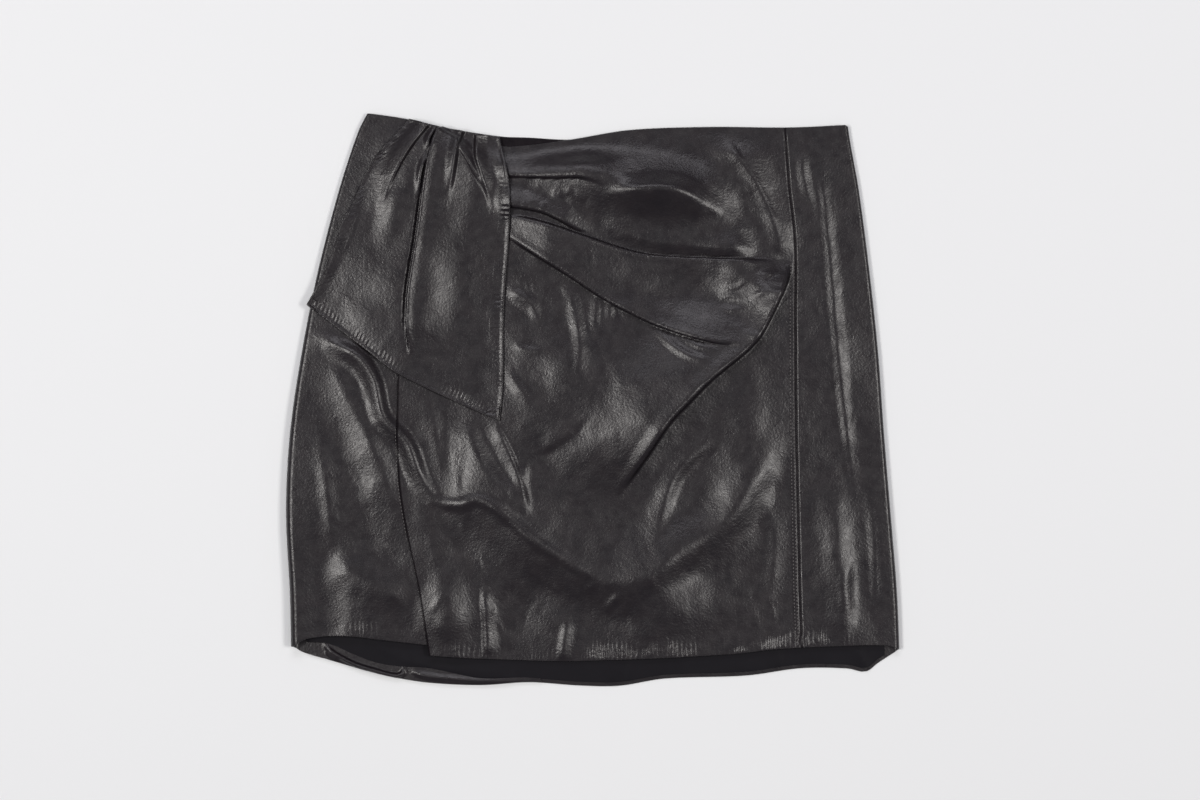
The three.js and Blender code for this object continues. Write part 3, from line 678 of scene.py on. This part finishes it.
def rounded_grid(side, inner, edge, fold_column, front_hem, front_shares):
    """Middle points of a panel that runs from a front seam, round a folded edge, to the underside."""
    parts = [("front", t) for t in front_shares]
    parts += [("turn", t) for t in np.linspace(0, 1, TURN_STEPS + 1)[1:]]
    parts += [("under", t) for t in np.linspace(0, 1, UNDER_STEPS + 1)[1:]]
    v = np.linspace(0, 1, SIDE_ROWS + 1)
    columns = []
    for part, t in parts:
        y = np.zeros_like(v)
        for _ in range(5):
            top = read(SECTIONS, "y", fold_column, y)
            radius, middle = (top - BACK_LEVEL) / 2, (top + BACK_LEVEL) / 2
            turn_start = edge(y) - side * radius
            if part == "front":
                x = mix(inner(y), turn_start, t)
                hem, waist = front_hem(x), front_waist(x)
                z = None
            elif part == "turn":
                angle = math.pi * (0.5 - t)
                x = turn_start + side * radius * math.cos(angle)
                z = middle + radius * math.sin(angle)
                hem, waist = mix(front_hem(x), back_hem(x), t), mix(front_waist(x), back_waist(x), t)
            else:
                x = mix(turn_start, edge(y) - side * TURN_UNDER, t)
                z = np.full_like(v, BACK_LEVEL)
                hem, waist = back_hem(x), back_waist(x)
            y = mix(hem, waist, v)
        points = front_points(x, y) if z is None else np.stack([x, y, z], axis=-1)
        columns.append(points)
    grid = np.stack(columns, axis=1)
    return grid if side > 0 else grid[:, ::-1]


def under_wrap_end(y):
    return wrap_edge(y) + WRAP_UNDERLAP


def left_front_panel(material):
    front_shares = np.linspace(0, 1, LEFT_STEPS + 1)
    grid = rounded_grid(-1, under_wrap_end, left_edge, "left_fold", under_hem, front_shares)
    x, y = grid[..., 0], grid[..., 1]
    # Hem ripples, and painted shade along the wrap edge
    marks = (*hem_marks(x, y, under_hem, -190, -110), painted_shade(x, y, wrap_edge))
    mesh = shell_mesh("left_front_leather", grid, LEATHER, marks)
    return piece("left_front_leather", mesh, material, "leather", "left_front_panel")


def right_side_panel(material):
    front_shares = dense_shares(RIGHT_STEPS, SEAM_BAND / RIGHT_WIDTH, 0)
    grid = rounded_grid(1, side_seam, right_edge, "right_fold", main_hem, front_shares)
    x, y = grid[..., 0], grid[..., 1]
    # Hem ripples, and painted shade along the side seam
    marks = (*hem_marks(x, y, main_hem, 150, 228), painted_shade(x, y, side_seam))
    mesh = shell_mesh("right_side_leather", grid, LEATHER, marks)
    return piece("right_side_leather", mesh, material, "leather", "right_side_panel")


def sash_pattern(across, up):
    """Flat pattern of the sash flap, a patch between its four edges."""
    u, v = np.linspace(0, 1, across + 1)[None, :, None], np.linspace(0, 1, up + 1)[:, None, None]
    bottom, top = spline(SASH["bottom"], across)[None], spline(SASH["top"], across)[None]
    left, right = spline(SASH["left"], up)[:, None], spline(SASH["right"], up)[:, None]
    corners = mix(mix(bottom[:, :1], bottom[:, -1:], u), mix(top[:, :1], top[:, -1:], u), v)
    u_grid, v_grid = np.broadcast_arrays(u[..., 0], v[..., 0])
    return mix(bottom, top, v) + mix(left, right, u) - corners, u_grid, v_grid


# About how wide and how high the sash is
SASH_WIDTH = 150
SASH_HEIGHT = 225


def sash_marks(x, y, u, v):
    """Where ripples square to the sash's turned edges lie, and how strong they are."""
    to_right, to_left, to_bottom = (1 - u) * SASH_WIDTH, u * SASH_WIDTH, v * SASH_HEIGHT
    right = smoothstep(y, 130, 150) * (1 - smoothstep(y, 158, 172)) + (1 - smoothstep(y, 70, 90)) * 0.9
    right = (0.3 + 0.7 * np.clip(right, 0, 1)) * edge_band(to_right, 1.5, 8, 12)
    left = (0.4 + 0.5 * smoothstep(y, 110, 150)) * edge_band(to_left, 1.5, 6, 10)
    bottom = 0.55 * edge_band(to_bottom, 1.5, 7, 12)
    strength = np.maximum(np.maximum(right, left), bottom)
    along = np.where(bottom >= strength, x - 0.5 * y, np.where(left >= strength, y - 0.4 * x, y))
    return along, strength * np.clip(0.65 + 0.6 * noise(x, y, 14, SASH_EDGE_SEED), 0, 1)


def bridged(height, reach):
    """Height of a sheet that bridges the hollows of what lies below it, and nowhere dips into that."""
    for combine in (np.max, np.mean):
        for axis in range(2):
            padded = np.pad(height, [(reach, reach) if a == axis else (0, 0) for a in range(2)], mode="edge")
            places = np.arange(height.shape[axis])
            height = combine([np.take(padded, places + i, axis) for i in range(2 * reach + 1)], axis=0)
    return height


def sash_flap(material):
    xy, u, v = sash_pattern(150, 236)
    x, y = xy[..., 0], xy[..., 1]
    over = LAP_STEP * smoothstep(x, wrap_edge(y) - LAP_EASE, wrap_edge(y))
    over = over * (1 - smoothstep(x - wrap_edge(y), WRAP_UNDERLAP, WRAP_UNDERLAP + LAP_EASE))
    offsets = folds_offsets(SASH_FOLDS, x, y)
    offsets[2] += swells_height(SASH_SWELLS, x, y)
    base = bridged(front_points(x, y, over)[..., 2], SASH_BRIDGE)
    edge = depth_inside(SASH_OUTLINE, x, y)
    bead = SASH_BEAD * (1 - smoothstep(edge, 0.6, 2.8))
    z = base + SASH_STEP + offsets[2] + SASH_CRUMPLE * crumple(x, y, SASH_SEED) + bead
    grid = np.stack([x + offsets[0], y + offsets[1], z], axis=-1)
    mesh = shell_mesh("sash_leather", grid, LEATHER, sash_marks(x, y, u, v))
    return piece("sash_leather", mesh, material, "leather", "sash_flap")


def back_panel(material):
    x, y = panel_grid(
        lambda y: left_edge(y) + TURN_UNDER + SEAM_GAP,
        lambda y: right_edge(y) - TURN_UNDER - SEAM_GAP,
        back_hem, back_waist, np.linspace(0, 1, 111), np.linspace(0, 1, 111),
    )
    grid = np.stack([x, y, np.full_like(x, BACK_LEVEL)], axis=-1)
    mesh = shell_mesh("back_leather", grid, LEATHER)
    return piece("back_leather", mesh, material, "leather", "back_panel")


# Inside of the back

HEM_TURN = {
    "x": (-222, -203, -186, -168, -148, -125, -87, -40),
    "depth": (8, 12, 10, 8, 9, 11, 5, 3),
}
HEM_TURN_END = -40
# How much painted shade dulls the leather inside the waist, all over the facing
WAIST_PAINTED_SHADE = 0.85


def hem_turn_top(x):
    return back_hem(x) + read(HEM_TURN, "x", "depth", x)


# Folds of the leather turned up inside the hem, and of the lining above it
FACING_FOLDS = [
    (2.6, 2.5, 3.5, 0, 0.15, 0.1, ((-208, -185.6), (-201.7, -192.5), (-193.3, -197.9), (-182.5, -203.3),
                                   (-170.2, -207.1), (-154, -211.4), (-147, -210.5), (-145.5, -204.8))),
    (1.4, 2.5, 3, 0, 0.3, 0.3, ((-206, -192.5), (-198.7, -197.9), (-194, -200))),
    (1.8, 5, 4, 0, 0.15, 0.5, ((-143, -206), (-134, -210.5), (-118, -213.5), (-80, -216), (-42, -215))),
]
LINING_FOLDS = [
    (1.0, 3, 5, 0, 0.3, 0.2, ((-190, -170), (-150, -196), (-110, -206), (-60, -210))),
    (0.9, 2, 4, 0, 0.2, 0.4, ((13, -218), (14, -208), (10, -195))),
    (0.9, 2, 4, 0, 0.2, 0.4, ((26, -218), (28, -208), (30, -195))),
    (0.8, 3, 4, 0, 0.3, 0.3, ((60, -210), (110, -207), (150, -203))),
    (1.8, 2.5, 5, 0, 0.1, 0.1, ((203, -190), (207, -199), (213, -207))),
    (1.2, 4, 3, 0, 0.2, 0.2, ((140, -188), (142, -196), (143, -206))),
]


def inside_left(y):
    return left_edge(y) + LINING_INSET


def inside_right(y):
    return right_edge(y) - LINING_INSET


def inside_grid(x, y, folds, seed):
    """Middle points of a piece that lies inside the back, on its flat leather."""
    rise = folds_offsets(folds, x, y)[2] + 0.25 * (1 + noise(x, y, 16, seed))
    return np.stack([x, y, INSIDE_LEVEL + np.maximum(rise, 0)], axis=-1)


def back_hem_facing(material):
    x, y = panel_grid(
        inside_left, lambda y: HEM_TURN_END + 0 * y,
        lambda x: back_hem(x) + SEAM_GAP, hem_turn_top,
        np.linspace(0, 1, 221), np.linspace(0, 1, 19),
    )
    mesh = shell_mesh("back_hem_facing_leather", inside_grid(x, y, FACING_FOLDS, FACING_SEED), LINING)
    return piece("back_hem_facing_leather", mesh, material, "leather", "back_hem_facing")


def back_lining(material):
    def hem(x):
        plain = back_hem(x) + HEM_ALLOWANCE + 2 * SEAM_GAP
        return np.where(x < HEM_TURN_END, hem_turn_top(x) + SEAM_GAP, plain)

    x, y = panel_grid(
        inside_left, inside_right,
        hem, lambda x: back_waist(x) - WAIST_FACING_DEPTH - SEAM_GAP,
        np.linspace(0, 1, 171), np.linspace(0, 1, 121),
    )
    mesh = shell_mesh("back_lining_satin", inside_grid(x, y, LINING_FOLDS, LINING_SEED), LINING)
    return piece("back_lining_satin", mesh, material, "lining", "back_lining")


def back_waist_facing(material):
    x, y = panel_grid(
        inside_left, inside_right,
        lambda x: back_waist(x) - WAIST_FACING_DEPTH, lambda x: back_waist(x) - SEAM_GAP,
        np.linspace(0, 1, 121), np.linspace(0, 1, 11),
    )
    plain = np.zeros_like(x)
    # Painted shade over the whole waist facing, which dulls its gloss
    marks = (plain, plain, plain + WAIST_PAINTED_SHADE)
    mesh = shell_mesh("back_waist_facing_leather", inside_grid(x, y, (), WAIST_SEED), LINING, marks)
    return piece("back_waist_facing_leather", mesh, material, "leather", "back_waist_facing")


# Stitches

STITCH_LENGTH = 1.9
STITCH_PITCH = 2.7
STITCH_RADIUS = 0.42
STITCH_SIDES = 6
# Rings of one stitch: share of its length, lift and share of its radius
STITCH_RINGS = ((0, -0.15, 0.5), (0.25, 0.1, 1), (0.75, 0.1, 1), (1, -0.15, 0.5))
# Rows of stitches: the seam, its distance left of the seam at the top and at the bottom, and both ends
STITCH_ROWS = (
    (side_seam, 1.6, 2.8, 106, -187),
    (side_seam, 4.2, 4.7, 104, -187),
    (wrap_edge, 1.5, 1.5, -22, -102),
)


def stitch_line(y, seam, top_inset, bottom_inset, top, bottom):
    """Where a row of stitches lies at each height."""
    return seam(y) - np.interp(y, (bottom, top), (bottom_inset, top_inset))


def stitch(start, end):
    """Points and faces of one stitch, a thread that dips into the leather at both ends."""
    along = (end - start) / np.linalg.norm(end - start)
    side = np.cross(along, (0, 0, 1))
    side /= np.linalg.norm(side)
    up = np.cross(side, along)
    angles = np.linspace(0, 2 * np.pi, STITCH_SIDES, endpoint=False)
    circle = np.cos(angles)[:, None] * side + np.sin(angles)[:, None] * up
    rings = [mix(start, end, t) + up * lift + circle * STITCH_RADIUS * size
             for t, lift, size in STITCH_RINGS]
    ring = np.arange(STITCH_SIDES)
    following = np.roll(ring, -1)
    band = np.stack([ring, following, following + STITCH_SIDES, ring + STITCH_SIDES], axis=-1)
    faces = [band + i * STITCH_SIDES for i in range(len(rings) - 1)]
    last = (len(rings) - 1) * STITCH_SIDES
    faces.append(np.array([[3, 2, 1, 0], [5, 4, 3, 0]]))
    faces.append(np.array([[0, 1, 2, 3], [0, 3, 4, 5]]) + last)
    return np.vstack(rings), np.vstack(faces)


def stitch_row(name, row, material, slot):
    ys = np.arange(row[3], row[4], -STITCH_PITCH)
    points, faces = [], []
    for y in ys:
        ends = np.array([y, y - STITCH_LENGTH])
        x = stitch_line(ends, *row)
        middle = front_points(x, ends)
        middle[:, 2] += LEATHER / 2
        new_points, new_faces = stitch(middle[0], middle[1])
        faces.append(new_faces + sum(len(p) for p in points))
        points.append(new_points)
    mesh = quad_mesh(name, np.vstack(points) * MM, np.vstack(faces))
    return piece(name, mesh, material, slot)


def stitches(material):
    names = ("side_seam_stitches_right", "side_seam_stitches_left", "wrap_stitches")
    for name, row in zip(names, STITCH_ROWS):
        stitch_row(name, row, material, "leather")


# Materials


class Nodes:
    """Short helper for building a material's nodes and links."""

    def __init__(self, name):
        self.material = bpy.data.materials.new(name)
        self.material.use_nodes = True
        self.tree = self.material.node_tree
        self.shader = self.tree.nodes["Principled BSDF"]
        self.place = self.add("ShaderNodeTexCoord").outputs["Object"]

    def add(self, kind, **values):
        node = self.tree.nodes.new(kind)
        for key, value in values.items():
            if hasattr(node, key):
                setattr(node, key, value)
            else:
                node.inputs[key.replace("_", " ").title()].default_value = value
        return node

    def link(self, out, into):
        self.tree.links.new(out, into)

    def noise(self, per_metre, detail=3.0, roughness=0.5):
        node = self.add("ShaderNodeTexNoise")
        node.inputs["Scale"].default_value = per_metre
        node.inputs["Detail"].default_value = detail
        node.inputs["Roughness"].default_value = roughness
        self.link(self.place, node.inputs["Vector"])
        return node.outputs["Fac"]

    def remap(self, value, low, high, to_low, to_high):
        node = self.add("ShaderNodeMapRange")
        sockets = ("From Min", "From Max", "To Min", "To Max")
        for socket, number in zip(sockets, (low, high, to_low, to_high)):
            node.inputs[socket].default_value = number
        self.link(value, node.inputs["Value"])
        return node.outputs["Result"]

    def colours(self, factor, dark, light):
        node = self.add("ShaderNodeMix", data_type="RGBA")
        node.inputs["A"].default_value = (*dark, 1)
        node.inputs["B"].default_value = (*light, 1)
        self.link(factor, node.inputs["Factor"])
        self.link(node.outputs["Result"], self.shader.inputs["Base Color"])

    def mark(self, label):
        return self.add("ShaderNodeAttribute", attribute_name=label).outputs["Fac"]

    def calculate(self, operation, *values):
        node = self.add("ShaderNodeMath", operation=operation)
        for socket, value in zip(node.inputs, values):
            if isinstance(value, (int, float)):
                socket.default_value = value
            else:
                self.link(value, socket)
        return node.outputs["Value"]

    def bump(self, height, strength, distance, before=None):
        node = self.add("ShaderNodeBump")
        node.inputs["Strength"].default_value = strength
        node.inputs["Distance"].default_value = distance
        self.link(height, node.inputs["Height"])
        if before is not None:
            self.link(before, node.inputs["Normal"])
        self.link(node.outputs["Normal"], self.shader.inputs["Normal"])
        return node.outputs["Normal"]


# Ripples along turned edges: distance between them and height, in millimetres
PUCKER_PITCH = 3.6
PUCKER_HEIGHT = 0.26
# Colours of each finish, darkest and lightest
LEATHER_COLOURS = (0.0060, 0.0046, 0.0064), (0.0112, 0.0086, 0.0102)
LINING_COLOURS = (0.0065, 0.0060, 0.0080), (0.0105, 0.0098, 0.0125)
THREAD_COLOURS = (0.060, 0.056, 0.056), (0.110, 0.104, 0.104)
FLOOR_COLOURS = (0.785, 0.81, 0.82), (0.795, 0.82, 0.825)
# Roughness of the leather, from its glossiest to its dullest, and its gloss on plain skin and where painted
# shade dulls it
LEATHER_ROUGHNESS = (0.27, 0.41)
LEATHER_GLOSS_AND_SHADE = (0.5, 0.04)


def leather_material():
    """Black nappa: fine pebbled grain, soft mottled gloss, and painted shade that dulls it along seams and
    stitches and inside the waist.
    """
    n = Nodes("black_nappa")
    mottle = n.noise(70, 4, 0.6)
    n.colours(n.remap(mottle, 0.3, 0.7, 0, 1), *LEATHER_COLOURS)
    n.link(n.remap(n.noise(130, 5, 0.65), 0.3, 0.7, *LEATHER_ROUGHNESS), n.shader.inputs["Roughness"])
    # Painted shade: the gloss falls away along seams and stitches and over the waist facing
    n.link(n.remap(n.mark("painted_shade"), 0, 1, *LEATHER_GLOSS_AND_SHADE), n.shader.inputs["Specular IOR Level"])
    turns = n.calculate("MULTIPLY", n.mark("pucker_place"), 2 * math.pi / PUCKER_PITCH)
    turns = n.calculate("MULTIPLY_ADD", n.noise(60, 1), 6.0, turns)
    uneven = n.remap(n.noise(80, 2), 0.38, 0.62, 0, 1)
    strength = n.calculate("MULTIPLY", n.mark("pucker_strength"), uneven)
    ripple = n.calculate("MULTIPLY", n.calculate("SINE", turns), strength)
    puckers = n.bump(ripple, 1.0, PUCKER_HEIGHT * MM)
    wrinkles = n.bump(n.noise(170, 3, 0.55), 0.24, 0.0007, puckers)
    pebbles = n.bump(n.noise(560, 2, 0.5), 0.5, 0.0004, wrinkles)
    n.bump(n.noise(1400, 1, 0.5), 0.4, 0.00014, pebbles)
    return n.material


def lining_material():
    """Black satin lining: a fine, tight weave with a dull sheen."""
    n = Nodes("black_satin")
    n.colours(n.noise(45, 3), *LINING_COLOURS)
    n.shader.inputs["Roughness"].default_value = 0.6
    n.shader.inputs["Specular IOR Level"].default_value = 0.10
    n.bump(n.noise(90, 3), 0.3, 0.0008)
    return n.material


def thread_material():
    """Dark grey polyester thread."""
    n = Nodes("black_thread")
    n.colours(n.noise(900), *THREAD_COLOURS)
    n.shader.inputs["Roughness"].default_value = 0.45
    return n.material


def floor_material():
    n = Nodes("pale_paper")
    n.colours(n.noise(1.2, 1), *FLOOR_COLOURS)
    n.shader.inputs["Roughness"].default_value = 0.9
    return n.material


# Stage

CAMERA_HEIGHT = 1.8
FRAME_WIDTH = 0.924
SENSOR = 36
CAMERA_X = 0.0054
WORLD_LIGHT = 0.22
WORLD_COLOUR = (0.97, 0.91, 1.0, 1)
FLOOR_HALF = 3.0
# Softboxes: name, place, size, power and colour
SOFTBOXES = (
    ("left", (-1.45, 0.05, 2.3), (1.0, 0.6), 35, (1.0, 0.97, 0.94)),
    ("right", (1.6, 0.0, 2.3), (1.0, 0.6), 31, (1.0, 0.97, 0.94)),
    ("top", (-0.2, 2.1, 2.1), (2.0, 0.8), 18, (0.97, 0.95, 1.0)),
    ("ceiling", (0.0, 0.1, 3.2), (2.4, 2.4), 1.5, (0.98, 0.98, 1.0)),
)


def add_camera():
    data = bpy.data.cameras.new("camera")
    data.sensor_width = SENSOR
    data.lens = SENSOR * CAMERA_HEIGHT / FRAME_WIDTH
    camera = bpy.data.objects.new("camera", data)
    camera.location = (CAMERA_X, 0, CAMERA_HEIGHT)
    bpy.context.scene.collection.objects.link(camera)
    bpy.context.scene.camera = camera


def add_softbox(name, place, size, power, colour):
    data = bpy.data.lights.new(name, "AREA")
    data.shape = "RECTANGLE"
    data.size, data.size_y = size
    data.energy = power
    data.color = colour
    light = bpy.data.objects.new(name, data)
    light.location = place
    light.rotation_euler = (-Vector(place)).to_track_quat("-Z", "Y").to_euler()
    bpy.context.scene.collection.objects.link(light)


def add_stage():
    corners = FLOOR_HALF * np.array([(-1, -1, 0), (1, -1, 0), (1, 1, 0), (-1, 1, 0)], float)
    mesh = quad_mesh("floor", corners, np.array([[0, 1, 2, 3]]))
    mesh.materials.append(floor_material())
    floor = bpy.data.objects.new("floor", mesh)
    bpy.context.scene.collection.objects.link(floor)
    world = bpy.data.worlds.new("studio")
    world.use_nodes = True
    background = world.node_tree.nodes["Background"]
    background.inputs["Color"].default_value = WORLD_COLOUR
    background.inputs["Strength"].default_value = WORLD_LIGHT
    bpy.context.scene.world = world
    for softbox in SOFTBOXES:
        add_softbox(*softbox)
    bpy.context.scene.view_settings.view_transform = "Standard"


# The scene

add_camera()
add_stage()
leather = leather_material()
lining = lining_material()
thread = thread_material()
back = back_panel(leather)
inside = [back_lining(lining), back_hem_facing(leather), back_waist_facing(leather)]
left_front = left_front_panel(leather)
front = front_panel(leather)
side = right_side_panel(leather)
sash = sash_flap(leather)
stitches(thread)
